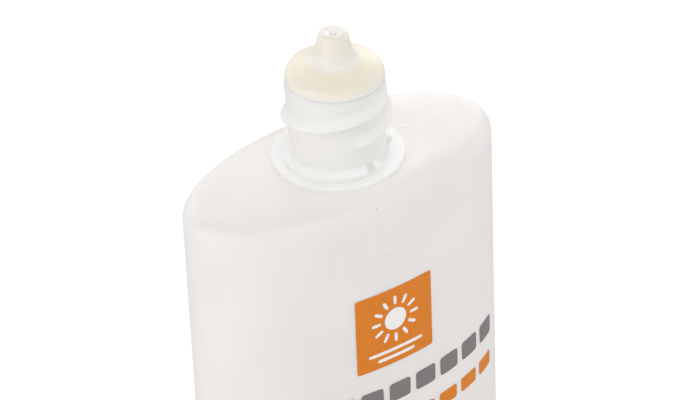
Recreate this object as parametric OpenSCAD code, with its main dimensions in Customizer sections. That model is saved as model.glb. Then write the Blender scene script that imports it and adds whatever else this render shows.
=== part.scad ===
// Oval squeeze bottle for a fluid lotion, with a pressed-in drip nozzle and an oval screw cap.
// The cap is off and stands on the table in front of the bottle.
// Origin at the centre of the bottle's foot, +Z up, +X along the bottle's wide axis.

/* [Body] */
// Full width of the body
body_w = 47.5; // [40:0.5:60]
// Full depth of the body
body_d = 24.6; // [23:0.2:36]
// Height of the shoulder edge above the table
body_h = 72; // [50:1:120]
// Squareness of the oval outline, where 2 is a true ellipse
squareness = 2.04; // [2:0.02:2.6]
// Thickness of the blow-moulded wall
wall = 0.9; // [0.6:0.1:1.3]
// Rounding where the side turns into the shoulder
edge_r = 2.6; // [1.6:0.1:4]
// Angle at which that rounding stops, which leaves the crease of the shoulder
edge_turn = 75; // [60:1:88]
// Rise of the shoulder from its edge to the neck
dome_rise = 0.6; // [0.2:0.1:3]

/* [Foot] */
// Rounding of the foot
foot_r = 2.2; // [1.4:0.1:3]
// Width of the flat ring that the bottle stands on
foot_land = 1.3; // [0.8:0.1:2]
// Height of the base panel above the table
push_up = 1.5; // [0.6:0.1:3]

/* [Neck] */
// Radius of the neck at its foot
neck_r = 6.55; // [6.2:0.05:8]
// Growth of the neck's radius from its foot to its mouth
neck_draft = 0.15; // [0:0.05:0.4]
// Height of the neck above the shoulder
neck_h = 12.8; // [12:0.1:20]
// Radius of the bore through the neck
bore_r = 5.25; // [4.6:0.05:5.6]
// Radius of the round pad that the neck stands on
pad_r = 9; // [8.6:0.1:10]
// Height of that pad
pad_h = 0.55; // [0.3:0.05:1]

/* [Thread] */
// Height that the cap climbs in one turn
lead = 8; // [6:0.5:10]
// Number of threads side by side
starts = 2; // [1:1:2]
// How far the ridge stands out from the neck
ridge_out = 0.95; // [0.5:0.05:1.2]
// Height of the ridge at its foot
ridge_foot = 2.2; // [1.4:0.1:2.4]
// Height of the ridge at its crest
ridge_crest = 0.5; // [0.3:0.1:0.7]
// How far the crest lies off the middle of the ridge: down on the neck, up in the sleeve
ridge_lean = 0.35; // [0:0.05:0.4]
// Turn of each ridge round the neck
ridge_turn = 262; // [180:2:300]
// Angle where the first ridge begins
ridge_from = -112; // [-180:1:180]
// Height of the ridge's lower end above the shoulder
ridge_z = 5.6; // [4.6:0.1:7]
// Angle over which a ridge grows from nothing
ridge_fade = 34; // [10:1:60]

/* [Snap ring] */
// How far the snap ring stands out from the neck
snap_out = 1.05; // [0.5:0.05:1.2]
// Height of the snap ring
snap_h = 1.3; // [0.8:0.1:1.8]
// Angle where each snap ring ends
snap_end = -90; // [-180:1:180]
// Turn of each snap ring round the neck
snap_turn = 110; // [40:2:140]
// How far the stop lug stands out from the neck
lug_out = 1.25; // [0.6:0.05:1.3]
// Height of the stop lug above the pad
lug_h = 1.5; // [1:0.05:2.4]
// Turn of the stop lug
lug_turn = 9; // [4:1:14]
// Turn of the gap between the snap ring and its lug
lug_gap = 10; // [6:1:20]

/* [Nozzle plug] */
// Radius of the plug's flange where it lies on the neck
flange_r = 6.65; // [6.3:0.05:8]
// Height of the flange's rim
flange_h = 0.95; // [0.6:0.05:1.6]
// Rounding of the flange's rim
flange_edge = 0.4; // [0.2:0.05:0.5]
// How far the flange's side leans in
flange_lean = 0.15; // [0.05:0.05:0.3]
// Rise of the dome between the flange and the spout
hat_rise = 1.45; // [0.8:0.05:2.5]
// Radius where the dome turns up into the spout
hat_r = 3.75; // [3.2:0.05:4.4]
// Radius of the spout at its foot
spout_r = 2.5; // [2.2:0.05:3]
// Radius of the spout at its tip
tip_r = 2.03; // [1.6:0.01:2.4]
// Height of the spout above the dome
spout_h = 4.44; // [3:0.02:7]
// Height of the curve that blends the spout into the dome
flare_h = 1.63; // [0.8:0.01:2]
// Rounding of the tip
tip_edge = 0.55; // [0.2:0.05:0.7]
// Depth of the drip dimple in the tip
dimple = 0.3; // [0.1:0.05:0.6]
// Radius of the funnel that leads from the dimple to the drip hole
funnel_r = 0.6; // [0.5:0.05:0.65]
// Depth of that funnel
funnel_h = 0.6; // [0.3:0.05:0.9]
// Radius of the drip hole
orifice_r = 0.35; // [0.2:0.05:0.45]
// Radius of the duct below the drip hole
duct_r = 1.2; // [0.9:0.05:1.4]
// Thickness of the plug's wall
plug_wall = 0.8; // [0.6:0.05:1]
// Length of the skirt inside the neck
skirt_h = 8; // [5:0.1:10]
// Gap between the skirt and the bore
skirt_gap = 0.2; // [0.1:0.05:0.35]
// Gap between the skirt's sealing rings and the bore
seal_gap = 0.02; // [0.01:0.01:0.08]
// Height of each sealing ring
seal_h = 0.9; // [0.5:0.1:1.4]

/* [Cap] */
// How far the cap's rim lies inside the body's outline
cap_inset = 0.4; // [0:0.1:1.2]
// Thickness of the cap's side
cap_wall = 1.3; // [0.9:0.1:1.8]
// Thickness of the cap's top
cap_top = 1.4; // [1:0.1:2.4]
// Rise of the cap's crown
crown = 0.8; // [0.2:0.1:2]
// How far the cap's side leans in towards its top
cap_draft = 0.5; // [0:0.1:1.2]
// Rounding of the cap's top edge
cap_edge = 2.2; // [1:0.1:3]
// Gap between the closed cap's rim and the shoulder
cap_gap = 0.15; // [0.05:0.05:0.5]
// Gap between the closed cap's top and the nozzle's tip
tip_gap = 0.8; // [0.4:0.1:2]
// Gap between the neck's ridges and the sleeve's wall
thread_gap = 0.5; // [0.35:0.05:0.6]
// Gap between the sleeve's thread and the neck's wall
root_gap = 0.3; // [0.2:0.05:0.4]
// Turn of each ridge inside the sleeve
sleeve_turn = 200; // [120:2:240]
// Thickness of the sleeve's wall
sleeve_wall = 1; // [0.8:0.1:1.4]
// Depth of the ribs between the sleeve and the side
rib_h = 6; // [3:0.5:9]
// Thickness of those ribs
rib_t = 1; // [0.8:0.1:1.4]
// Gap between the cap's sealing pin and the drip hole
pin_gap = 0.1; // [0.05:0.05:0.15]
// How far the pin of the closed cap reaches into the drip hole
pin_reach = 1.2; // [0.6:0.1:2]
// Distance from the bottle's axis to the loose cap's, to the left
cap_x = 30; // [0:1:60]
// Gap on the table between the bottle and the loose cap
cap_y_gap = 6; // [2:1:30]

/* [Hidden] */
$fn = 96;
// Number of points round each oval, and number of steps in each rounding
around = 80;
steps = 5;
// A small overlap, so that fused pieces share no face
eps = 0.05;
// Depth in the wall of a ridge's root and of the foot of its flanks
root_in = 0.4;
foot_in = 0.1;
// Share of its full height that a ridge has at its two ends
blunt = 0.05;
shoulder_z = body_h + dome_rise;
pad_z = shoulder_z + pad_h;
neck_top = shoulder_z + neck_h;
edge_z = body_h - edge_r;
crease_inset = edge_r * (1 - cos(edge_turn));
crease_z = edge_z + edge_r * sin(edge_turn);
mouth_r = neck_r + neck_draft;
hat_z = neck_top + flange_h + hat_rise;
tip_z = hat_z + spout_h;
funnel_z = tip_z - dimple * 1.3;
cap_seat = body_h + cap_gap;
cap_under = tip_z + tip_gap - cap_seat;
cap_side_h = cap_under + cap_top;
sleeve_r = neck_r + ridge_out + thread_gap;
sleeve_out = sleeve_r + sleeve_wall;
sleeve_low = pad_z + cap_gap * 2 - cap_seat;
cap_y = body_d + cap_y_gap;

// One point of the body's outline, drawn in by inset
function oval(inset, t) = let(
    a = body_w / 2 - inset,
    b = body_d / 2 - inset,
    power = 2 / squareness)
    [a * sign(cos(t)) * pow(abs(cos(t)), power), b * sign(sin(t)) * pow(abs(sin(t)), power)];

// A ring of points at height z that lies share of the way from the oval to a circle of radius r
function ring(inset, z, share = 0, r = 0) = [for (i = [0 : around - 1]) let(
    t = 360 * i / around,
    p = oval(inset, t) * (1 - share) + [cos(t), sin(t)] * r * share)
    [p.x, p.y, z]];

// Points on a quarter round from angle a to angle b, as offsets from its centre
function arc(r, a, b) = [for (i = [0 : steps]) let(t = a + (b - a) * i / steps) [r * cos(t), r * sin(t)]];

// A curve from p to q that leaves and arrives along the lines through c
function bend(p, c, q) = [for (i = [0 : steps]) let(s = i / steps)
    p * (1 - s) * (1 - s) + c * 2 * s * (1 - s) + q * s * s];

// A closed skin over a stack of rings, listed from the bottom up
module loft(rings) {
    n = len(rings[0]);
    top = len(rings) - 1;
    sides = [for (k = [0 : top - 1], i = [0 : n - 1]) let(
        a = k * n + i,
        b = k * n + (i + 1) % n,
        c = b + n,
        d = a + n)
        each [[a, c, b], [a, d, c]]];
    ends = [[for (i = [0 : n - 1]) i], [for (i = [n - 1 : -1 : 0]) top * n + i]];
    polyhedron([for (r = rings) each r], concat(ends, sides), convexity = 4);
}

// The same list from its last item to its first
function turned(list) = [for (i = [len(list) - 1 : -1 : 0]) list[i]];

// One face of the body's wall from the base panel up to the neck: skin is how deep it lies in the wall
function body_face(skin, neck_end) = let(
    low = foot_r + foot_land,
    round_r = foot_r - skin,
    edge_in = edge_r - skin)
    concat(
        [ring(low + push_up, push_up + skin), ring(low, skin)],
        [for (p = arc(round_r, 270, 180)) ring(foot_r + p.x, foot_r + p.y)],
        [for (p = arc(edge_in, 180, 180 - edge_turn)) ring(edge_r + p.x, edge_z + p.y)],
        [for (i = [1 : steps]) let(s = i / steps)
            ring(crease_inset, crease_z - skin + dome_rise * sin(90 * s), s, neck_end)]);

// The blow-moulded wall of the body, open at the neck
module body_wall() {
    loft(concat(body_face(0, pad_r - pad_h), turned(body_face(wall, bore_r + wall))));
}

// Turned neck with the round pad under it
module neck() {
    grow_z = shoulder_z + neck_h * 0.4;
    rim = 0.25;
    round_r = pad_h * 0.6;
    pad_edge = [for (p = arc(round_r, 0, 90)) [pad_r - round_r + p.x, pad_z - round_r + p.y]];
    mouth = [for (p = arc(rim, 0, 90)) [mouth_r - rim + p.x, neck_top - rim + p.y]];
    rotate_extrude()
    polygon(concat(
        [[bore_r, shoulder_z - wall * 1.5], [bore_r + wall * 1.5, shoulder_z - wall * 1.5]],
        [[pad_r, shoulder_z - wall / 2]],
        pad_edge,
        [[neck_r + pad_h, pad_z], [neck_r, pad_z + pad_h], [neck_r, grow_z]],
        mouth,
        [[bore_r, neck_top]]));
}

// A helical ridge on a wall of radius r: out is negative on the inside of a sleeve
module ridge(r, out, from, z, turn) {
    inner = r - sign(out) * root_in;
    foot = r - sign(out) * foot_in;
    count = ceil(turn / 10);
    rings = [for (i = [0 : count]) let(
        t = turn * i / count,
        grown = min(1, t / ridge_fade + blunt, (turn - t) / ridge_fade + blunt),
        crest = r + out * grown,
        h = ridge_foot / 2 * (0.5 + grown / 2),
        k = ridge_crest / 2,
        mid = -sign(out) * ridge_lean * grown)
        [for (p = [[inner, -h], [foot, -h], [crest, mid - k], [crest, mid + k], [foot, h], [inner, h]])
            [p.x * cos(from + t), p.x * sin(from + t), z + lead * t / 360 + p.y]]];
    loft(out < 0 ? rings : [for (r = rings) turned(r)]);
}

// Every start of the thread
module thread(r, out, z, turn) {
    for (k = [0 : starts - 1])
        ridge(r, out, ridge_from + 360 * k / starts, z, turn);
}

// Part of a ring round the neck, from one angle on through turn
module band(inner, outer, low, high, from, turn) {
    r = (high - low) * 0.3;
    rotate([0, 0, from])
    rotate_extrude(angle = turn)
    polygon(concat(
        [[inner, low], [outer, low]],
        [for (p = arc(r, 0, 90)) [outer - r + p.x, high - r + p.y]],
        [[inner, high]]));
}

// Two snap rings and two stop lugs, which hold the closed cap square to the body
module snap_and_stops() {
    for (k = [0, 180]) {
        band(neck_r - eps, neck_r + snap_out, pad_z - eps, pad_z + snap_h,
            snap_end - snap_turn + k, snap_turn);
        band(neck_r - eps, neck_r + lug_out, pad_z - eps, pad_z + lug_h,
            snap_end + lug_gap + k, lug_turn);
    }
}

module bottle() {
    color([0.93, 0.92, 0.91]) {
        body_wall();
        neck();
        thread(neck_r, ridge_out, shoulder_z + ridge_z, ridge_turn);
        snap_and_stops();
    }
}

// Outline of the plug from the flange up to the drip hole
function plug_outside() = let(
    brim = neck_top + flange_h,
    hat_low = brim + flange_edge,
    slope = (hat_z - hat_low) / (flange_r - flange_edge - hat_r),
    foot_z = hat_z + flare_h,
    lean = (spout_r - tip_r) / (spout_h - flare_h),
    corner = [spout_r + lean * (flare_h - slope * 0.9), hat_z + slope * 0.9])
    concat(
        [[flange_r, neck_top], [flange_r - flange_lean, brim]],
        [[flange_r - flange_edge / 2, brim + flange_edge * 0.75], [flange_r - flange_edge * 1.5, hat_low]],
        bend([hat_r, hat_z], corner, [spout_r, foot_z]),
        [for (p = arc(tip_edge, 0, 90)) [tip_r - tip_edge + p.x, tip_z - tip_edge + p.y]],
        [[funnel_r * 1.6, tip_z - dimple], [funnel_r, funnel_z], [orifice_r, funnel_z - funnel_h]]);

module nozzle_plug() {
    skirt_r = bore_r - skirt_gap;
    seal_r = bore_r - seal_gap;
    inside_r = skirt_r - plug_wall;
    low = neck_top - skirt_h;
    ring_low = neck_top - skirt_h / 2;
    hole_low = funnel_z - funnel_h * 2;
    lead_in = 0.5;
    color([0.96, 0.93, 0.88])
    rotate_extrude()
    polygon(concat(
        [[inside_r, low], [skirt_r - lead_in, low], [skirt_r, low + lead_in * 2]],
        [[skirt_r, ring_low - seal_h], [seal_r, ring_low - seal_h / 2], [skirt_r, ring_low]],
        [[skirt_r, neck_top - seal_h * 1.5], [seal_r, neck_top - seal_h], [seal_r, neck_top]],
        plug_outside(),
        [[orifice_r, hole_low], [duct_r, hole_low - duct_r + orifice_r]],
        [[duct_r, hat_z + plug_wall], [inside_r, neck_top + flange_h / 2]]));
}

// One face of the cap's wall from its rim up to its top: skin is how deep it lies in the side
function cap_face(skin, high, rise) = let(
    round_r = cap_edge - skin,
    flat = cap_inset + cap_draft + cap_edge)
    concat(
        [ring(cap_inset + skin, 0)],
        [for (p = arc(round_r, 180, 90)) ring(flat + p.x, high - round_r + p.y)],
        [for (i = [1 : steps]) let(s = i / steps) ring(flat, high + rise * sin(90 * s), s * 0.8, 0)]);

// The cap's oval side and top, open at the rim
module cap_shell() {
    loft(concat(turned(cap_face(cap_wall, cap_under, 0)), cap_face(0, cap_side_h, crown)));
}

// The sleeve with its thread and stop ribs, and the ribs that carry it from the side
module cap_sleeve() {
    loft([
        ring(0, cap_under + eps, 1, sleeve_r), ring(0, sleeve_low, 1, sleeve_r),
        ring(0, sleeve_low, 1, sleeve_out), ring(0, cap_under + 2 * eps, 1, sleeve_out)]);
    thread(sleeve_r, root_gap + neck_draft + neck_r - sleeve_r,
        shoulder_z + ridge_z - lead / 4 - cap_seat, sleeve_turn);
    for (k = [0, 180])
        band(sleeve_r - snap_out, sleeve_r + eps, sleeve_low, sleeve_low + snap_h,
            snap_end + lug_gap + lug_turn + 1 + k, lug_turn);
    rib_end = body_w / 2 - cap_inset - cap_draft - cap_wall / 2;
    for (side = [-1, 1])
        translate([side > 0 ? sleeve_r + sleeve_wall / 2 : -rib_end, -rib_t / 2, cap_under - rib_h])
            cube([rib_end - sleeve_r - sleeve_wall / 2, rib_t, rib_h + eps]);
}

module cap() {
    pin_r = orifice_r - pin_gap;
    pin_h = tip_gap + dimple + pin_reach;
    color([0.93, 0.92, 0.91])
    translate([-cap_x, -cap_y, 0]) {
        cap_shell();
        cap_sleeve();
        translate([0, 0, cap_under - pin_h])
            cylinder(r1 = pin_r, r2 = orifice_r, h = pin_h + eps);
    }
}

bottle();
nozzle_plug();
cap();
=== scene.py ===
"""Milky squeeze bottle with a drip nozzle, its oval cap standing off in front, on a white floor."""
import bisect
import math

import bpy
from mathutils import Matrix, Vector


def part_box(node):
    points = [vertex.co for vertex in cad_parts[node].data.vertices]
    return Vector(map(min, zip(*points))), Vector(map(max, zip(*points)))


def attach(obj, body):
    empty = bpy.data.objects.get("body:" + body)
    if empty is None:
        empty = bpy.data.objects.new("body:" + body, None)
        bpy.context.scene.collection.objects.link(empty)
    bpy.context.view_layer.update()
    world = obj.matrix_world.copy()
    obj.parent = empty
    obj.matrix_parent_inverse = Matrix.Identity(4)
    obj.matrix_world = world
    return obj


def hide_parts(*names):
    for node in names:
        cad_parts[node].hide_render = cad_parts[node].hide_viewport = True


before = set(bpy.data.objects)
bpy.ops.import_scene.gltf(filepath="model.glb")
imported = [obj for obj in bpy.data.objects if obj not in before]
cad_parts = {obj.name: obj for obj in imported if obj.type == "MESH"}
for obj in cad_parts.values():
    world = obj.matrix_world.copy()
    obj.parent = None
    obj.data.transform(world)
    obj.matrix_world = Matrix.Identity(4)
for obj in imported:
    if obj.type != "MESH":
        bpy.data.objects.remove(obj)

bl_info = {
    "name": "Drip Bottle",
    "version": (1, 0, 0),
    "blender": (4, 5, 0),
    "location": "View3D > Sidebar > Drip Bottle",
    "description": "Models the looks of an oval squeeze bottle round its CAD frame",
    "category": "Add Mesh",
}

MM = 0.001
BOTTLE_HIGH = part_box("bottle")[1]
PLUG_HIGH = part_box("nozzle_plug")[1]
CAP_LOW, CAP_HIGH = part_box("cap")
# Places of the dust specks in the bottle's plastic, in millimetres
DUST = ((-1.92, -11.69, 71.02), (13.43, -10.23, 65.14), (7.3, -11.73, 63.55), (-0.51, -12.29, 63.36),
        (11.85, -10.73, 48.43), (-3.01, -6.71, 81.54), (-6.59, -0.26, 78.07), (6.2, 11.9, 30.4),
        (-9.1, 11.4, 55.7), (-14.3, 9.8, 18.9), (15.1, 9.6, 44.2), (-20.4, -6.3, 24.6))


def length(name, value, description):
    """A size given in millimetres and kept in metres."""
    return bpy.props.FloatProperty(
        name=name, description=description, default=value * MM, unit="LENGTH", precision=5)


def number(name, value, description):
    """A plain number."""
    return bpy.props.FloatProperty(name=name, description=description, default=value, precision=3)


def colour(name, value, description):
    """A colour given as sRGB numbers from 0 to 255."""
    return bpy.props.FloatVectorProperty(
        name=name, description=description, subtype="COLOR", min=0, max=1,
        default=[linear(v / 255) for v in value])


def linear(v):
    """An sRGB value as light."""
    return v / 12.92 if v <= 0.04045 else ((v + 0.055) / 1.055) ** 2.4


class BottleSizes(bpy.types.PropertyGroup):
    """Sizes of the blow-moulded bottle that the frame's box doesn't give"""
    squareness: number("Squareness", 2.04, "Outline of the body, where 2 is an ellipse")
    edge_height: length("Shoulder edge", 72.0, "Height where the rounding of the shoulder's edge would end")
    edge_round: length("Edge rounding", 2.6, "Rounding between the side and the shoulder")
    edge_turn: number("Edge turn", 75, "Degrees after which that rounding stops at the crease")
    shoulder: length("Shoulder", 72.6, "Height of the shoulder at the neck")
    wall: length("Wall", 0.9, "Thickness of the blown wall")
    foot_round: length("Foot rounding", 2.2, "Rounding of the foot")
    foot_land: length("Foot ring", 1.3, "Width of the ring that the bottle stands on")
    push_up: length("Push-up", 1.5, "Rise of the base panel")
    pad_radius: length("Pad radius", 9.0, "Radius of the round pad under the neck")
    pad_height: length("Pad height", 0.55, "Height of that pad")
    neck_radius: length("Neck radius", 6.55, "Radius of the neck at its foot")
    neck_growth: length("Neck growth", 0.15, "Growth of the neck's radius up to its mouth")
    bore: length("Bore", 5.25, "Radius of the neck's bore")
    lead: length("Lead", 8.0, "Climb of the thread in one turn")
    ridge_out: length("Ridge", 0.87, "How far the thread stands out")
    ridge_low: length("Ridge start", 5.6, "Height of the thread's lower end above the shoulder")
    ridge_foot: length("Ridge foot", 1.15, "How far below its middle a ridge begins")
    ridge_rise: length("Steep flank", 0.6, "Height of the ridge's steep flank")
    ridge_crest: length("Ridge crest", 0.4, "How far below its middle the ridge's crest ends")
    ridge_slope: length("Gentle flank", 1.6, "Height of the ridge's gentle flank")
    thread_from: number("Thread from", -112, "Degrees where the first thread begins")
    thread_turn: number("Thread turn", 266, "Degrees that each thread runs round the neck")
    snap_out: length("Snap ring", 1.0, "How far the snap ring stands out")
    snap_height: length("Snap ring height", 1.3, "Height of the snap ring")
    snap_end: number("Snap ring end", 90, "Degrees where a snap ring ends")
    snap_turn: number("Snap ring turn", 110, "Degrees that each snap ring runs round the neck")
    lug_out: length("Lug", 1.05, "How far the stop lug stands out")
    lug_height: length("Lug height", 1.4, "Height of the stop lug")
    lug_gap: number("Lug gap", 10, "Degrees from the end of a snap ring to its lug")
    lug_turn: number("Lug turn", 9, "Degrees that each lug takes up")
    mould_line: length("Mould line", 0.1, "How far the mould's parting line stands up")


class PlugSizes(bpy.types.PropertyGroup):
    """Sizes of the drip nozzle plug"""
    flange_radius: length("Flange", 6.65, "Radius of the flange")
    flange_height: length("Flange rim", 0.95, "Height of the flange's rim")
    dome_radius: length("Dome", 3.75, "Radius where the dome turns up into the spout")
    dome_rise: length("Dome rise", 1.45, "Rise of the dome")
    spout_radius: length("Spout foot", 2.5, "Radius of the spout at its foot")
    tip_radius: length("Spout tip", 2.03, "Radius of the spout at its tip")
    flare: length("Flare", 1.63, "Height of the curve at the spout's foot")
    dimple: length("Dimple", 0.3, "Depth of the drip dimple")
    funnel: length("Funnel", 0.5, "Radius and depth of the funnel that leads to the drip hole")
    orifice: length("Drip hole", 0.35, "Radius of the drip hole")
    duct: length("Duct", 1.2, "Radius of the duct under the drip hole")
    skirt: length("Skirt", 8.0, "Length of the skirt inside the neck")
    skirt_radius: length("Skirt radius", 5.05, "Radius of the skirt")
    seal_radius: length("Seal radius", 5.22, "Radius of the sealing rings on the skirt")
    wall: length("Wall", 0.8, "Thickness of the plug")


class CapSizes(bpy.types.PropertyGroup):
    """Sizes of the oval cap"""
    inset: length("Inset", 0.4, "How far the cap's rim lies inside the body's outline")
    wall: length("Side", 1.3, "Thickness of the side")
    top: length("Top", 1.4, "Thickness of the top")
    crown: length("Crown", 0.8, "Rise of the crown")
    draft: length("Draft", 0.5, "How far the side leans in towards the top")
    edge_round: length("Edge rounding", 2.2, "Rounding of the top edge")
    sleeve: length("Sleeve", 8.0, "Radius inside the threaded sleeve")
    sleeve_wall: length("Sleeve wall", 1.0, "Thickness of the sleeve and of the ribs")
    sleeve_low: length("Sleeve start", 1.3, "Height of the sleeve's lower end above the rim")
    sleeve_turn: number("Sleeve thread", 204, "Degrees that each thread runs round inside the sleeve")
    rib: length("Rib", 6.0, "Depth of the ribs between the sleeve and the side")
    pin: length("Pin", 2.3, "Length of the pin that closes the drip hole")
    pin_radius: length("Pin radius", 0.35, "Radius of the pin where it meets the top")
    pin_tip: length("Pin tip", 0.25, "Radius of the pin at its tip")
    seat: length("Seat", 72.15, "Height of the closed cap's rim on the bottle")


class FinishColours(bpy.types.PropertyGroup):
    """Colours of the plastics, the inks and the floor"""
    milk: colour("Milk", (246, 241, 238), "Natural milky plastic of the bottle")
    neck_milk: colour("Empty milk", (245, 243, 240), "The same plastic with no lotion behind it")
    ivory: colour("Ivory", (246, 240, 227), "Plastic of the nozzle plug")
    amber: colour("Amber", (249, 240, 219), "Tint where the plug is thick")
    orange: colour("Orange", (230, 131, 24), "Orange ink")
    grey: colour("Grey", (132, 128, 127), "Grey ink")
    paper: colour("White ink", (250, 249, 247), "White ink")
    speck: colour("Speck", (204, 195, 187), "Dust moulded into the plastic")
    floor: colour("Floor", (236, 236, 236), "Paper that the bottle stands on")


class Studio(bpy.types.PropertyGroup):
    """The floor, the lights and the camera"""
    floor_radius: length("Floor", 3000, "Radius of the floor")
    floor_glow: number("Floor glow", 0.28, "Light that the floor gives off")
    air: number("Surroundings", 0.385, "Brightness of the surroundings")
    left_power: number("Left light", 1.46, "Watts of the light on the left")
    high_power: number("High left light", 0.83, "Watts of the light high on the left")
    front_power: number("Front light", 1.43, "Watts of the light high in front")
    right_power: number("Right light", 1.15, "Watts of the light on the right")
    back_power: number("Back light", 1.99, "Watts of the light behind on the right")
    rear_power: number("Rear light", 1.31, "Watts of the light straight behind")
    light_away: length("Light distance", 800, "Distance of each light from the point that it is aimed at")
    light_size: length("Light size", 500, "Side of each square light")
    aim_height: length("Aim", 60, "Height of the point that the lights are aimed at")
    focal: length("Focal length", 205.69, "Focal length on a 36 mm wide sensor")
    azimuth: number("Azimuth", -33.444, "Degrees that the camera stands round the bottle")
    elevation: number("Elevation", 35.406, "Degrees that the camera looks down")
    roll: number("Roll", -2.407, "Degrees that the camera is tilted sideways")
    distance: length("Distance", 578.8, "Distance from the camera to the foot of the bottle")
    shift_right: length("Place to the right", 0.903, "How far right of the view's middle the foot lies")
    shift_up: length("Place upwards", -52.969, "How far above the view's middle the foot lies")


def settings(name):
    """The scene's values of one property group."""
    return getattr(bpy.context.scene, name)


def clear_selection():
    """Back to object mode with nothing selected."""
    if bpy.context.object and bpy.context.object.mode != "OBJECT":
        bpy.ops.object.mode_set(mode="OBJECT")
    bpy.ops.object.select_all(action="DESELECT")


def rounded(corners, steps=5):
    """A profile with its corners eased: each corner is a radius, a height and a rounding."""
    path = []
    for k, (r, z, ease_by) in enumerate(corners):
        here = Vector((r, z))
        if not ease_by or k in (0, len(corners) - 1):
            path.append(here)
            continue
        before = Vector(corners[k - 1][:2]) - here
        after = Vector(corners[k + 1][:2]) - here
        start = here + before.normalized() * min(ease_by, before.length * 0.45)
        end = here + after.normalized() * min(ease_by, after.length * 0.45)
        for i in range(steps + 1):
            s = i / steps
            path.append(start * (1 - s) ** 2 + here * 2 * s * (1 - s) + end * s ** 2)
    return path


def square_off(piece, power):
    """Turns a round outline of radius 1 into one whose sides are flatter, as power grows past 2."""
    for point in piece.data.vertices:
        for axis in (0, 1):
            point.co[axis] = math.copysign(abs(point.co[axis]) ** (2 / power), point.co[axis])


def ring_stack(name, rings, sides, endless=False, power=2.0):
    """A form drawn from ring to ring: each ring is its half width, half depth and height."""
    clear_selection()
    wide, deep, height = rings[0]
    bpy.ops.mesh.primitive_circle_add(
        vertices=sides, radius=1, fill_type="NOTHING" if endless else "NGON", location=(0, 0, height))
    piece = bpy.context.object
    piece.name = piece.data.name = name
    square_off(piece, power)
    bpy.ops.object.mode_set(mode="EDIT")
    bpy.ops.transform.resize(value=(wide, deep, 1), center_override=(0, 0, height))
    for low, high in zip(rings, rings[1:]):
        bpy.ops.mesh.extrude_region_move(TRANSFORM_OT_translate={"value": (0, 0, high[2] - low[2])})
        bpy.ops.transform.resize(
            value=(high[0] / low[0], high[1] / low[1], 1), center_override=(0, 0, high[2]))
    bpy.ops.mesh.select_all(action="SELECT")
    bpy.ops.mesh.remove_doubles(threshold=0.0005 * MM)
    bpy.ops.mesh.normals_make_consistent(inside=False)
    bpy.ops.object.mode_set(mode="OBJECT")
    bpy.ops.object.transform_apply(location=True, rotation=True, scale=True)
    return piece


def turned(name, path, sides, endless=False):
    """A round form turned from a profile of radius and height."""
    return ring_stack(name, [(p.x, p.x, p.y) for p in path], sides, endless)


def smooth(piece, angle):
    """Smooth shading that leaves edges sharper than the angle."""
    clear_selection()
    piece.select_set(True)
    bpy.context.view_layer.objects.active = piece
    bpy.ops.object.shade_smooth_by_angle(angle=math.radians(angle))


def join(pieces, name):
    """One object made of several."""
    clear_selection()
    for piece in pieces:
        piece.select_set(True)
    bpy.context.view_layer.objects.active = pieces[0]
    bpy.ops.object.join()
    pieces[0].name = pieces[0].data.name = name
    return pieces[0]


def finish_piece(piece, material, body):
    """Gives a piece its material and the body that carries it."""
    piece.data.materials.clear()
    piece.data.materials.append(material)
    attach(piece, body)


def ease(x):
    """A smooth step from 0 to 1."""
    x = min(1.0, max(0.0, x))
    return x * x * (3 - 2 * x)


def turn_from(angle, start):
    """How far an angle lies past a start, from 0 to 360."""
    return (angle - start) % 360


def ridge(sizes, angle, height, length_turned, way=1):
    """How far the threads stand out at an angle and height: way is -1 where the steep flank is on top."""
    fade_in, fade_out = 26, 46
    best = 0.0
    for start in (sizes.thread_from, sizes.thread_from + 180):
        turn = turn_from(angle, start)
        if turn > length_turned:
            continue
        middle = sizes.shoulder + sizes.ridge_low + sizes.lead * turn / 360
        grown = ease(turn / fade_in) * ease((length_turned - turn) / fade_out)
        across = way * (height - middle)
        steep = ease((across + sizes.ridge_foot) / sizes.ridge_rise)
        gentle = 1 - ease((across + sizes.ridge_crest) / sizes.ridge_slope)
        best = max(best, sizes.ridge_out * grown * steep * gentle)
    return best


def snap_and_lug(sizes, angle, height):
    """How far the snap rings and stop lugs stand out of the neck at an angle and height."""
    up = height - sizes.shoulder - sizes.pad_height
    soft_end, round_from, rounding = 3, 0.75 * MM, 0.9 * MM
    out = 0.0
    for end in (sizes.snap_end, sizes.snap_end - 180):
        for start, length_turned, reach, high in (
                (end - sizes.snap_turn, sizes.snap_turn, sizes.snap_out, sizes.snap_height),
                (end + sizes.lug_gap, sizes.lug_turn, sizes.lug_out, sizes.lug_height)):
            along = turn_from(angle + 1, start)
            ends = ease(along / soft_end) * ease((length_turned + 2 - along) / soft_end)
            out = max(out, reach * ends * (1 - ease((up - high + round_from) / rounding)))
    return out


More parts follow.
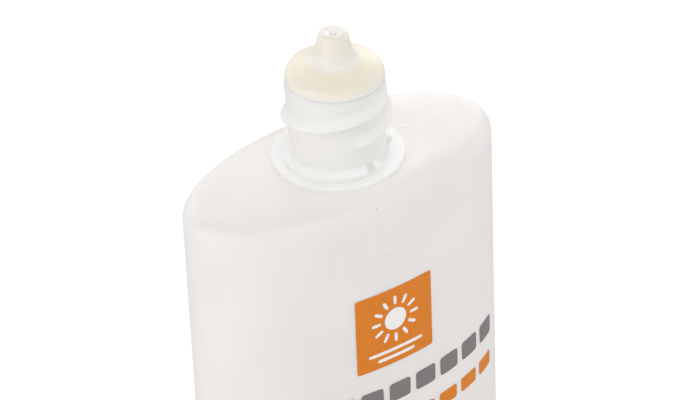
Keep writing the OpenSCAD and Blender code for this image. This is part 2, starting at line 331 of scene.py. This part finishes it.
def body_skin(s, depth, neck_end):
    """One face of the body's wall from the base panel up to the neck, lying depth inside the outside."""
    a, b = BOTTLE_HIGH.x, BOTTLE_HIGH.y
    edge_z = s.edge_height - s.edge_round
    turn = math.radians(s.edge_turn)
    crease_z = edge_z + s.edge_round * math.sin(turn)
    rise = s.shoulder - crease_z
    low = s.foot_round + s.foot_land
    corner = s.foot_round - depth
    edge = s.edge_round - depth
    rings = [(a * 0.02, b * 0.02, s.push_up + depth)]
    rings += [(a - low - s.push_up * k, b - low - s.push_up * k, depth + s.push_up * h)
              for k, h in ((1.2, 1), (1, 0.94), (0.5, 0.5), (0.1, 0.05), (0, 0))]
    rings += [(a - s.foot_round + corner * math.sin(t), b - s.foot_round + corner * math.sin(t),
               s.foot_round - corner * math.cos(t)) for t in (math.pi / 16 * i for i in range(9))]
    rings += [(a - depth, b - depth, s.foot_round + (edge_z - s.foot_round) * i / 8) for i in range(1, 8)]
    rings += [(a - s.edge_round + edge * math.cos(t), b - s.edge_round + edge * math.cos(t),
               edge_z + edge * math.sin(t)) for t in (turn * i / 12 for i in range(13))]
    rim_a, rim_b = rings[-1][:2]
    for i in range(1, 15):
        k = i / 14
        rings.append((rim_a + (neck_end - rim_a) * k, rim_b + (neck_end - rim_b) * k,
                      crease_z - depth + rise * math.sin(math.pi / 2 * k)))
    return rings


def neck_rings(s):
    """The neck's rings from the pad up to the mouth and down the bore."""
    top = BOTTLE_HIGH.z
    pad_top = s.shoulder + s.pad_height
    rim, pad_edge, bore_edge = 0.03 * MM, 0.3 * MM, 0.1 * MM
    full_growth = 9 * MM
    spacing = 0.11 * MM
    count = int((top - rim - pad_top) / spacing)
    wall = []
    for i in range(count + 1):
        z = pad_top + (top - rim - pad_top) * i / count
        flare = max(0.0, 1 - (z - pad_top) / s.pad_height)
        grown = s.neck_growth * min(1.0, max(0.0, (z - pad_top) / full_growth - 0.5) * 2)
        wall.append((s.neck_radius + s.pad_height * flare ** 2 + grown, z, 0))
    mouth = s.neck_radius + s.neck_growth
    path = rounded([(s.pad_radius, s.shoulder, 0), (s.pad_radius, pad_top, pad_edge)] + wall)
    path += rounded([(mouth, top - rim, 0), (mouth, top, rim), (s.bore, top, bore_edge),
                     (s.bore, s.shoulder - s.wall * 1.5, 0)])
    return [(p.x, p.x, p.y) for p in path]


def shape_neck(piece, s, rings):
    """Makes the neck truly round and raises the threads, the snap rings and the stop lugs on it."""
    pad_top = s.shoulder + s.pad_height
    for point in piece.data.vertices:
        x, y, z = point.co
        radius = math.hypot(x, y)
        if z < s.shoulder - 2 * s.wall or radius > s.pad_radius * 1.02:
            continue
        angle = math.atan2(y, x)
        if radius < s.bore * 1.06:
            real = s.bore
        elif z > pad_top - 0.01 * MM and radius < s.neck_radius + s.pad_height * 1.2:
            turn = math.degrees(angle)
            real = min(rings, key=lambda ring: abs(ring[2] - z) + abs(ring[0] - radius))[0]
            real = max(real + ridge(s, turn, z, s.thread_turn), s.neck_radius + snap_and_lug(s, turn, z))
        else:
            continue
        point.co.x = real * math.cos(angle)
        point.co.y = real * math.sin(angle)


def raise_mould_line(piece, s):
    """The thin line that the two halves of the mould leave on the shoulder and the sides."""
    crease = BOTTLE_HIGH.x - s.edge_round
    faint = 0.25
    for point in piece.data.vertices:
        x, y, z = point.co
        outside = point.normal.z > 0 or abs(x) > BOTTLE_HIGH.x - s.wall / 2
        if abs(y) > 0.001 * MM or not outside or z > s.shoulder + s.pad_height or z < s.foot_round:
            continue
        if z > s.edge_height - s.wall and abs(x) > s.pad_radius * 1.001:
            share = (abs(x) - s.pad_radius) / (crease - s.pad_radius)
            fade = 1 - (1 - faint) * ease(share * 2.2)
        elif abs(x) > crease:
            fade = faint
        else:
            continue
        point.co += point.normal * s.mould_line * fade


def make_bottle():
    """The blown bottle: body, shoulder, neck, threads, snap rings and lugs in one skin."""
    s = settings("bottle_sizes")
    neck = neck_rings(s)
    outside = body_skin(s, 0, s.pad_radius)
    inside = body_skin(s, s.wall, s.bore + s.wall)
    piece = ring_stack("bottle_shell", outside + neck + inside[::-1], 288, power=s.squareness)
    shape_neck(piece, s, neck)
    raise_mould_line(piece, s)
    smooth(piece, 50)
    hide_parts("bottle")
    finish_piece(piece, milky_plastic(), "bottle")


def make_plug():
    """The drip nozzle plug: skirt, flange, dome and spout with its drip hole."""
    s = settings("plug_sizes")
    top = PLUG_HIGH.z
    seat = BOTTLE_HIGH.z
    low = seat - s.skirt
    brim = seat + s.flange_height
    dome = brim + s.dome_rise
    inner = s.skirt_radius - s.wall
    slope = (s.dome_rise - 0.4 * MM) / (s.flange_radius - 0.6 * MM - s.dome_radius)
    funnel_top = top - s.dimple * 1.3
    funnel_low = funnel_top - s.funnel
    hole_low = funnel_low - s.funnel
    skirt = [
        (inner, low, 0), (s.skirt_radius - 0.5 * MM, low, 0.2 * MM),
        (s.skirt_radius, low + 1 * MM, 0.3 * MM),
        (s.skirt_radius, seat - 4.9 * MM, 0.15 * MM), (s.seal_radius, seat - 4.45 * MM, 0.2 * MM),
        (s.skirt_radius, seat - 4 * MM, 0.15 * MM), (s.skirt_radius, seat - 1.35 * MM, 0.1 * MM),
        (s.seal_radius, seat - 0.9 * MM, 0.15 * MM), (s.seal_radius, seat + 0.01 * MM, 0.03 * MM)]
    flange = [
        (s.flange_radius + 0.04 * MM, seat + 0.01 * MM, 0.02 * MM),
        (s.flange_radius - 0.13 * MM, brim + 0.1 * MM, 0.42 * MM),
        (s.flange_radius - 0.62 * MM, brim + 0.42 * MM, 0.2 * MM)]
    spout = [
        (s.spout_radius + 0.5 * MM, dome + slope * 0.65 * MM, 1.5 * MM),
        (s.spout_radius, dome + s.flare, 0.4 * MM),
        (s.tip_radius, top - 0.32 * MM, 0.3 * MM), (1.4 * MM, top, 0.25 * MM)]
    hole = [
        (0.95 * MM, top - 0.03 * MM, 0.15 * MM), (0.75 * MM, top - s.dimple, 0.15 * MM),
        (s.funnel, funnel_top, 0.12 * MM), (s.orifice, funnel_low, 0.1 * MM),
        (s.orifice, hole_low, 0.05 * MM), (s.duct, hole_low - s.duct + s.orifice, 0.2 * MM),
        (s.duct, dome + s.wall, 0.3 * MM),
        (inner, seat + 0.5 * MM, 0.3 * MM), (inner, low, 0)]
    path = rounded(skirt + flange + spout + hole, steps=7)
    piece = turned("drip_nozzle", path, 192, endless=True)
    smooth(piece, 60)
    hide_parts("nozzle_plug")
    finish_piece(piece, ivory_plastic(), "nozzle_plug")


def cap_skin(s, depth, top, rise):
    """One face of the cap's wall from the rim up to the middle of its top."""
    a, b = BOTTLE_HIGH.x - s.inset, BOTTLE_HIGH.y - s.inset
    edge = s.edge_round - depth
    flat = s.draft + s.edge_round
    rings = [(a - depth - s.draft * k, b - depth - s.draft * k, (top - edge) * k)
             for k in (i / 6 for i in range(6))]
    rings += [(a - flat + edge * math.cos(t), b - flat + edge * math.cos(t), top - edge + edge * math.sin(t))
              for t in (math.pi / 20 * i for i in range(11))]
    rings += [((a - flat) * (1 - k), (b - flat) * (1 - k), top + rise * math.sin(math.pi / 2 * k))
              for k in (0.1, 0.2, 0.35, 0.5, 0.65, 0.8, 0.9, 0.97)]
    return rings


def cap_shell(s):
    """The cap's side and top, drawn from under the top down the inside, round the rim and up outside."""
    high = CAP_HIGH.z - s.crown
    inner = cap_skin(s, s.wall, high - s.top, 0)
    outer = cap_skin(s, 0, high, s.crown)
    ease_by = 0.12 * MM
    a, b = outer[0][:2]
    rim = [(a - ease_by, b - ease_by, 0), (a, b, ease_by)]
    rings = inner[::-1] + rim + outer[1:]
    shell = ring_stack("cap_shell", rings, 224, power=settings("bottle_sizes").squareness)
    smooth(shell, 50)
    return shell


def cap_sleeve(s, under):
    """The threaded sleeve with its two stop ribs."""
    bottle = settings("bottle_sizes")
    outer = s.sleeve + s.sleeve_wall
    count = 150
    wall = [(s.sleeve, s.sleeve_low + (under - s.sleeve_low) * i / count, 0) for i in range(count + 1)]
    end = (outer, under + 0.05 * MM, 0)
    path = rounded([end, (outer, s.sleeve_low, 0.2 * MM)] + wall + [end])
    sleeve = turned("cap_sleeve", path, 192, endless=True)
    stop = bottle.snap_end + bottle.lug_gap + bottle.lug_turn + 1
    stop_turn = bottle.lug_turn + 0.3
    for point in sleeve.data.vertices:
        x, y, z = point.co
        if math.hypot(x, y) > s.sleeve + 0.05 * MM or z > under - 0.1 * MM:
            continue
        angle = math.atan2(y, x)
        turn = math.degrees(angle)
        inwards = ridge(bottle, turn, z + s.seat + bottle.lead / 4, s.sleeve_turn, -1)
        for start in (stop, stop + 180):
            if turn_from(turn, start) < stop_turn and z < s.sleeve_low + bottle.snap_height:
                inwards = bottle.snap_out
        point.co.x = (s.sleeve - inwards) * math.cos(angle)
        point.co.y = (s.sleeve - inwards) * math.sin(angle)
    smooth(sleeve, 50)
    return sleeve


def cap_rib(s, side, under):
    """One rib between the sleeve and the side of the cap."""
    start = s.sleeve + s.sleeve_wall / 2
    end = BOTTLE_HIGH.x - s.inset - s.draft - s.wall / 2
    clear_selection()
    bpy.ops.mesh.primitive_cube_add(size=1, location=(side * (start + end) / 2, 0, under - s.rib / 2))
    rib = bpy.context.object
    rib.scale = (end - start, s.sleeve_wall, s.rib)
    bpy.ops.object.transform_apply(location=True, rotation=True, scale=True)
    soft = rib.modifiers.new("Soft edges", "BEVEL")
    soft.width, soft.segments = 0.15 * MM, 2
    bpy.ops.object.modifier_apply(modifier=soft.name)
    return rib


def cap_pin(s, under):
    """The pin under the cap's top that closes the drip hole."""
    low = under - s.pin
    pin = turned("cap_pin", rounded([
        (0.03 * MM, low, 0), (s.pin_tip, low, 0.1 * MM), (s.pin_radius, under + 0.05 * MM, 0)]), 32)
    smooth(pin, 50)
    return pin


def make_cap():
    """The oval cap that stands on the table: shell, sleeve, ribs and sealing pin."""
    s = settings("cap_sizes")
    under = CAP_HIGH.z - s.crown - s.top
    parts = [cap_shell(s), cap_sleeve(s, under), cap_pin(s, under)]
    parts += [cap_rib(s, side, under) for side in (-1, 1)]
    cap = join(parts, "oval_cap")
    middle = (CAP_LOW + CAP_HIGH) / 2
    bpy.ops.transform.translate(value=(middle.x, middle.y, 0))
    bpy.ops.object.transform_apply(location=True, rotation=True, scale=True)
    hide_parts("cap")
    finish_piece(cap, cap_plastic(), "cap")


def front_table():
    """Points along the body's front outline, and the distance of each from the middle."""
    power = 2 / settings("bottle_sizes").squareness
    count = 800
    points = [Vector((BOTTLE_HIGH.x * math.sin(t) ** power, -BOTTLE_HIGH.y * math.cos(t) ** power))
              for t in (math.pi / 2 * i / count for i in range(count))]
    walked = [0.0]
    for here, there in zip(points, points[1:]):
        walked.append(walked[-1] + (there - here).length)
    return walked, points


def wrap(piece, lift):
    """Lays a flat piece on the body's front: its x is the distance round the body."""
    walked, points = front_table()
    for point in piece.data.vertices:
        along = abs(point.co.x)
        k = bisect.bisect_left(walked, along, 1)
        step = points[k] - points[k - 1]
        outward = Vector((step.y, -step.x)).normalized()
        here = points[k - 1].lerp(points[k], (along - walked[k - 1]) / (walked[k] - walked[k - 1]))
        here += outward * (lift - point.co.y)
        point.co.x = math.copysign(here.x, point.co.x)
        point.co.y = here.y


def patch(x, z, half_width, half_height, power=2.0, turn=0.0, sides=64, cuts=6):
    """A flat patch with rounded corners, cut fine enough to bend."""
    clear_selection()
    bpy.ops.mesh.primitive_circle_add(vertices=sides, radius=1, fill_type="TRIFAN")
    piece = bpy.context.object
    square_off(piece, power)
    bpy.ops.object.mode_set(mode="EDIT")
    bpy.ops.mesh.select_all(action="SELECT")
    bpy.ops.transform.resize(value=(half_width, half_height, 1), center_override=(0, 0, 0))
    bpy.ops.mesh.subdivide(number_cuts=cuts)
    bpy.ops.object.mode_set(mode="OBJECT")
    piece.data.transform(Matrix.Translation((x, 0, z)) @ Matrix.Rotation(turn, 4, "Y")
                         @ Matrix.Rotation(math.pi / 2, 4, "X"))
    return piece


def print_on(pieces, name, lift, ink):
    """Joins flat patches, lays them on the bottle, and gives them the thickness and colour of ink."""
    piece = join(pieces, name)
    wrap(piece, lift)
    film = piece.modifiers.new("Ink film", "SOLIDIFY")
    film.thickness, film.offset = 0.02 * MM, -1
    bpy.ops.object.modifier_apply(modifier=film.name)
    finish_piece(piece, ink, "bottle")


def make_print():
    """A plain sun over the shore on an orange panel, and two rows of dashes."""
    middle, half = 51.3 * MM, 6.25 * MM
    first_coat, second_coat = 0.03 * MM, 0.055 * MM
    panel = patch(0, middle, half, half, 40, sides=96, cuts=10)
    print_on([panel], "emblem_panel", first_coat, print_ink("orange"))
    sun_z, sun_radius = middle + 1.1 * MM, 1.75 * MM
    away, ray_width, ray_length = 3.1 * MM, 0.24 * MM, 0.7 * MM
    marks = [patch(0, sun_z, sun_radius, sun_radius)]
    for k in range(12):
        turn = math.radians(30 * k)
        marks.append(patch(away * math.sin(turn), sun_z + away * math.cos(turn), ray_width, ray_length,
                           4, turn, 24, 2))
    for half_width, z in ((4.4, -3.9), (3.0, -5.05)):
        marks.append(patch(0, middle + z * MM, half_width * MM, 0.26 * MM, 8, cuts=3))
    print_on(marks, "emblem_sun", second_coat, print_ink("paper"))
    pitch, half_width = 4.5 * MM, 1.75 * MM
    for name, ink, start, z, half_height, count in (
            ("grey_dashes", "grey", -17.6 * MM, 40 * MM, 1.5 * MM, 9),
            ("orange_dashes", "orange", 4.6 * MM, 34.3 * MM, 1.15 * MM, 4)):
        dashes = [patch(start + pitch * k, z, half_width, half_height, 8, sides=32, cuts=4)
                  for k in range(count)]
        print_on(dashes, name, first_coat, print_ink(ink))


class Signal:
    """A number that changes over a surface. Sums on it add Math nodes."""

    def __init__(self, recipe, socket):
        self.recipe = recipe
        self.socket = socket

    def maths(self, operation, first, second):
        """One Math node."""
        return self.recipe.node("Math", {"operation": operation}, {0: first, 1: second})

    def __add__(self, other):
        return self.maths("ADD", self, other)

    __radd__ = __add__

    def __sub__(self, other):
        return self.maths("SUBTRACT", self, other)

    def __rsub__(self, other):
        return self.maths("SUBTRACT", other, self)

    def __mul__(self, other):
        return self.maths("MULTIPLY", self, other)

    __rmul__ = __mul__

    def __pow__(self, other):
        return self.maths("POWER", self, other)


class Recipe:
    """The nodes of one material."""

    def __init__(self, name, **sockets):
        self.material = bpy.data.materials.new(name)
        self.material.use_nodes = True
        self.tree = self.material.node_tree
        self.shader = self.tree.nodes["Principled BSDF"]
        for socket, value in sockets.items():
            self.shader.inputs[socket.replace("_", " ")].default_value = value
        self.place = self.node("TexCoord", output="Object")

    def node(self, kind, choices=None, inputs=None, output=0):
        """Adds a node: its choices are set first, then the values or links of its sockets."""
        node = self.tree.nodes.new("ShaderNode" + kind)
        for name, value in (choices or {}).items():
            setattr(node, name, value)
        for name, value in (inputs or {}).items():
            self.feed(node.inputs[name], value)
        return Signal(self, node.outputs[output])

    def feed(self, socket, value):
        """Gives a socket a link or a value."""
        if isinstance(value, Signal):
            self.tree.links.new(value.socket, socket)
        else:
            socket.default_value = value

    def noise(self, size, detail=2.0, stretch=(1, 1, 1)):
        """Cloudy noise with blotches of about this size in metres."""
        where = self.node("Mapping", inputs={"Vector": self.place, "Scale": stretch})
        return self.node("TexNoise", inputs={"Vector": where, "Scale": 1 / size, "Detail": detail})

    def between(self, value, low, high):
        """Stretches a value from 0 to 1 out to low to high."""
        return self.node("MapRange", inputs={"Value": value, "To Min": low, "To Max": high})

    def step(self, value, low, high):
        """A smooth step from 0 at low to 1 at high."""
        return self.node("MapRange", {"interpolation_type": "SMOOTHSTEP"},
                         {"Value": value, "From Min": low, "From Max": high})

    def beyond(self, squared, low, high):
        """A smooth step between two distances in millimetres, from the distance squared."""
        return self.step(squared, (low * MM) ** 2, (high * MM) ** 2)

    def blend(self, share, first, second):
        """One colour over another."""
        return self.node("Mix", {"data_type": "RGBA"}, {0: share, 6: first, 7: second}, output=2)

    def specks(self, spots, radius):
        """Round specks at these places, given in millimetres."""
        found = 0.0
        for spot in spots:
            away = self.node("VectorMath", {"operation": "DISTANCE"},
                             {0: self.place, 1: [v * MM for v in spot]}, output=1)
            found = found + (1 - self.step(away, radius * 0.4, radius))
        return found

    def bump(self, height, depth):
        """Bumps of this depth in metres."""
        normal = self.node("Bump", inputs={"Strength": 1.0, "Distance": depth, "Height": height})
        self.set("Normal", normal)

    def set(self, socket, value):
        """Feeds one socket of the shader."""
        self.feed(self.shader.inputs[socket], value)


def rgba(value, gain=1.0):
    """A property's colour as a socket takes it."""
    return [min(1.0, channel * gain) for channel in value] + [1.0]


def milky_plastic():
    """Blown milky plastic: light spreads in it, with cloudy walls, fine flow lines and a few specks; the
    raised mould line carries a painted highlight, and the pad and the neck's foot are painted lighter
    against the shade round the neck.
    """
    inks = settings("finish_colours")
    recipe = Recipe("milky_plastic", Subsurface_Weight=0.6, Subsurface_Scale=0.9 * MM, IOR=1.5)
    recipe.shader.inputs["Subsurface Radius"].default_value = (1.0, 0.97, 0.93)
    cloud = recipe.noise(11 * MM, 3)
    flow = recipe.noise(1.6 * MM, 2, (1, 1, 0.08))
    grain = recipe.noise(0.35 * MM, 3)
    thin = recipe.step(cloud * 0.8 + flow * 0.2, 0.35, 0.65)
    skin = recipe.blend(thin, rgba(inks.milk, 0.985), rgba(inks.milk, 1.01))
    x, y, z = (recipe.node("SeparateXYZ", inputs={"Vector": recipe.place}, output=k) for k in range(3))
    # Painted highlight: the raised mould line is painted white, fading out away from the neck, standing in
    # for the light its top catches
    line = (1 - recipe.beyond(y ** 2, 0.05, 0.25)) * recipe.step(z, 70 * MM, 71.5 * MM)
    line = line * recipe.beyond(x ** 2, 8.6, 9)
    line = line * (0.6 - 0.4 * recipe.beyond(x ** 2, 9, 17))
    empty = (1 - recipe.beyond(x ** 2 + y ** 2, 8.6, 9.6)) * recipe.step(z, 71.5 * MM, 72.3 * MM)
    # Painted light: the pad and the foot of the neck get the neck's colour 7% lighter, fading out up to 76
    # mm, against the shade in the corner round the neck
    above = recipe.step(z, 72.8 * MM, 76 * MM)
    neck = recipe.blend(above, rgba(inks.neck_milk, 1.07), rgba(inks.neck_milk))
    skin = recipe.blend(empty, skin, neck)
    skin = recipe.blend(line, skin, (1, 1, 1, 1))
    recipe.set("Base Color", recipe.blend(recipe.specks(DUST, 0.14 * MM), skin, rgba(inks.speck)))
    recipe.set("Roughness", recipe.between(cloud, 0.36, 0.5))
    recipe.bump(grain * 0.3 + flow * 0.7, 0.02 * MM)
    return recipe.material


def ivory_plastic():
    """Ivory plastic of the plug, deeper in colour where it is thick, with a painted highlight ring at the
    spout's foot and the drip hole's pit painted near white against its shade.
    """
    inks = settings("finish_colours")
    recipe = Recipe("ivory_plastic", Subsurface_Weight=0.15, Subsurface_Scale=0.6 * MM, IOR=1.5)
    recipe.shader.inputs["Subsurface Radius"].default_value = (1.0, 0.95, 0.85)
    x, y, z = (recipe.node("SeparateXYZ", inputs={"Vector": recipe.place}, output=k) for k in range(3))
    radius = (x ** 2 + y ** 2) ** 0.5
    flank = recipe.step(radius, 3.2 * MM, 4.2 * MM) * (1 - recipe.step(radius, 5.1 * MM, 5.8 * MM) * 0.6)
    cloud = recipe.noise(3 * MM, 3)
    deep = flank * recipe.between(cloud, 0.8, 1.0)
    brim = recipe.step(z, BOTTLE_HIGH.z + 0.1 * MM, BOTTLE_HIGH.z + 0.8 * MM)
    # Painted highlight: a ring round the spout's foot is painted half way to a lighter white, standing in
    # for light shining through the plastic there
    painted_foot_highlight = recipe.step(radius, 2.3 * MM, 2.8 * MM) * (1 - recipe.step(radius, 3.1 * MM, 3.7 * MM)) * 0.5
    dome = recipe.blend(deep, rgba(inks.ivory), rgba(inks.amber))
    skin = recipe.blend(painted_foot_highlight, dome, rgba(inks.neck_milk, 1.03))
    skin = recipe.blend(brim, rgba(inks.neck_milk), skin)
    # Painted light: the pit of the drip hole is painted near white against the shade down in the hole
    hole = 1 - recipe.step(radius, 0.8 * MM, 1.2 * MM)
    painted_lit_pit = hole * recipe.step(z, PLUG_HIGH.z - 3 * MM, PLUG_HIGH.z - 2 * MM)
    recipe.set("Base Color", recipe.blend(painted_lit_pit, skin, (1, 0.99, 0.97, 1)))
    recipe.set("Roughness", recipe.between(cloud, 0.38, 0.5))
    recipe.bump(recipe.noise(0.4 * MM, 3), 0.008 * MM)
    return recipe.material


def cap_plastic():
    """Moulded white plastic with a fine satin grain."""
    inks = settings("finish_colours")
    recipe = Recipe("cap_plastic", Subsurface_Weight=0.6, Subsurface_Scale=1.2 * MM, IOR=1.5)
    cloud = recipe.noise(14 * MM, 2)
    recipe.set("Base Color", recipe.blend(cloud, rgba(inks.neck_milk, 0.98), rgba(inks.neck_milk, 1.01)))
    recipe.set("Roughness", recipe.between(cloud, 0.3, 0.42))
    recipe.bump(recipe.noise(0.25 * MM, 3), 0.012 * MM)
    return recipe.material


def print_ink(name):
    """Silk-screen ink: flat colour with a faint screen grain and thin spots."""
    tint = getattr(settings("finish_colours"), name)
    recipe = Recipe(name + "_ink", IOR=1.35)
    grain = recipe.noise(0.5 * MM, 3)
    screen = recipe.step(grain, 0.3, 0.75)
    recipe.set("Base Color", recipe.blend(screen, rgba(tint, 0.97), rgba(tint, 1.03)))
    recipe.set("Roughness", recipe.between(grain, 0.4, 0.55))
    recipe.bump(grain, 0.004 * MM)
    return recipe.material


def lay_floor(s):
    """A wide white floor that glows a little."""
    clear_selection()
    bpy.ops.mesh.primitive_circle_add(vertices=96, radius=s.floor_radius, fill_type="NGON",
                                      location=(0, 0, 0))
    floor = bpy.context.object
    floor.name = "studio_floor"
    floor.visible_glossy = False
    recipe = Recipe("studio_white", Roughness=0.9, Emission_Strength=s.floor_glow,
                    Emission_Color=(1, 1, 1, 1))
    recipe.set("Base Color", rgba(settings("finish_colours").floor))
    floor.data.materials.append(recipe.material)


def towards(azimuth, elevation):
    """The direction out from the bottle: azimuth 0 is the front, 90 the right side."""
    turn, tilt = math.radians(azimuth), math.radians(elevation)
    return Vector((math.sin(turn) * math.cos(tilt), -math.cos(turn) * math.cos(tilt), math.sin(tilt)))


def hang_lights(s):
    """Bright surroundings and six large soft lights."""
    world = bpy.data.worlds.new("studio_air")
    world.use_nodes = True
    world.node_tree.nodes["Background"].inputs["Color"].default_value = (1, 1, 1, 1)
    world.node_tree.nodes["Background"].inputs["Strength"].default_value = s.air
    bpy.context.scene.world = world
    aim = Vector((0, 0, s.aim_height))
    for name, power, azimuth, elevation in (
            ("left_softbox", s.left_power, -90, 20),
            ("high_softbox", s.high_power, -60, 55),
            ("front_softbox", s.front_power, 0, 55),
            ("right_softbox", s.right_power, 75, 25),
            ("back_softbox", s.back_power, 135, 20),
            ("rear_softbox", s.rear_power, 180, 20)):
        away = towards(azimuth, elevation)
        clear_selection()
        bpy.ops.object.light_add(type="AREA", location=aim + away * s.light_away)
        lamp = bpy.context.object
        lamp.name = name
        lamp.data.energy, lamp.data.size = power, s.light_size
        lamp.rotation_euler = away.to_track_quat("Z", "Y").to_euler()


def set_camera(s):
    """The camera in the place that the picture was taken from."""
    lens = bpy.data.cameras.new("product_camera")
    lens.sensor_width, lens.lens = 36, s.focal / MM
    lens.clip_start, lens.clip_end = 0.01, 20
    camera = bpy.data.objects.new("product_camera", lens)
    bpy.context.scene.collection.objects.link(camera)
    back = towards(s.azimuth, s.elevation)
    level = towards(s.azimuth + 90, 0)
    roll = math.radians(s.roll)
    upright = back.cross(level)
    right = level * math.cos(roll) + upright * math.sin(roll)
    up = upright * math.cos(roll) - level * math.sin(roll)
    place = back * s.distance - right * s.shift_right - up * s.shift_up
    camera.matrix_world = Matrix((right, up, back)).transposed().to_4x4()
    camera.location = place
    bpy.context.scene.camera = camera


def make_stage():
    """The floor, the lights and the camera."""
    s = settings("studio")
    lay_floor(s)
    hang_lights(s)
    set_camera(s)
    bpy.context.scene.view_settings.view_transform = "Standard"


class BOTTLE_OT_stage(bpy.types.Operator):
    """Set up the floor, the lights and the camera"""
    bl_idname = "bottle.stage"
    bl_label = "Stage"

    def execute(self, context):
        make_stage()
        return {"FINISHED"}


class BOTTLE_OT_body(bpy.types.Operator):
    """Model the blown bottle"""
    bl_idname = "bottle.body"
    bl_label = "Bottle"

    def execute(self, context):
        make_bottle()
        return {"FINISHED"}


class BOTTLE_OT_plug(bpy.types.Operator):
    """Model the drip nozzle plug"""
    bl_idname = "bottle.plug"
    bl_label = "Nozzle Plug"

    def execute(self, context):
        make_plug()
        return {"FINISHED"}


class BOTTLE_OT_cap(bpy.types.Operator):
    """Model the loose oval cap"""
    bl_idname = "bottle.cap"
    bl_label = "Cap"

    def execute(self, context):
        make_cap()
        return {"FINISHED"}


class BOTTLE_OT_print(bpy.types.Operator):
    """Print the emblem and the rows of dashes"""
    bl_idname = "bottle.print"
    bl_label = "Print"

    def execute(self, context):
        make_print()
        return {"FINISHED"}


class BOTTLE_PT_panel(bpy.types.Panel):
    """Lists the pieces and their sizes in the sidebar"""
    bl_label = "Drip Bottle"
    bl_space_type = "VIEW_3D"
    bl_region_type = "UI"
    bl_category = "Drip Bottle"

    def draw(self, context):
        for name in STEPS:
            self.layout.operator("bottle." + name)
        for group, cls in GROUPS.items():
            box = self.layout.box()
            for field in cls.__annotations__:
                box.prop(getattr(context.scene, group), field)


STEPS = ("stage", "body", "plug", "cap", "print")
GROUPS = {"bottle_sizes": BottleSizes, "plug_sizes": PlugSizes, "cap_sizes": CapSizes,
          "finish_colours": FinishColours, "studio": Studio}
CLASSES = (*GROUPS.values(), BOTTLE_OT_stage, BOTTLE_OT_body, BOTTLE_OT_plug, BOTTLE_OT_cap,
           BOTTLE_OT_print, BOTTLE_PT_panel)


def register():
    """Adds the classes and the groups of settings."""
    for cls in CLASSES:
        bpy.utils.register_class(cls)
    for name, cls in GROUPS.items():
        setattr(bpy.types.Scene, name, bpy.props.PointerProperty(type=cls))


def unregister():
    """Takes them away again."""
    for name in GROUPS:
        delattr(bpy.types.Scene, name)
    for cls in reversed(CLASSES):
        bpy.utils.unregister_class(cls)


def main():
    """Builds everything round the frame."""
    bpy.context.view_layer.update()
    register()
    for name in STEPS:
        getattr(bpy.ops.bottle, name)()


if __name__ == "__main__":
    main()
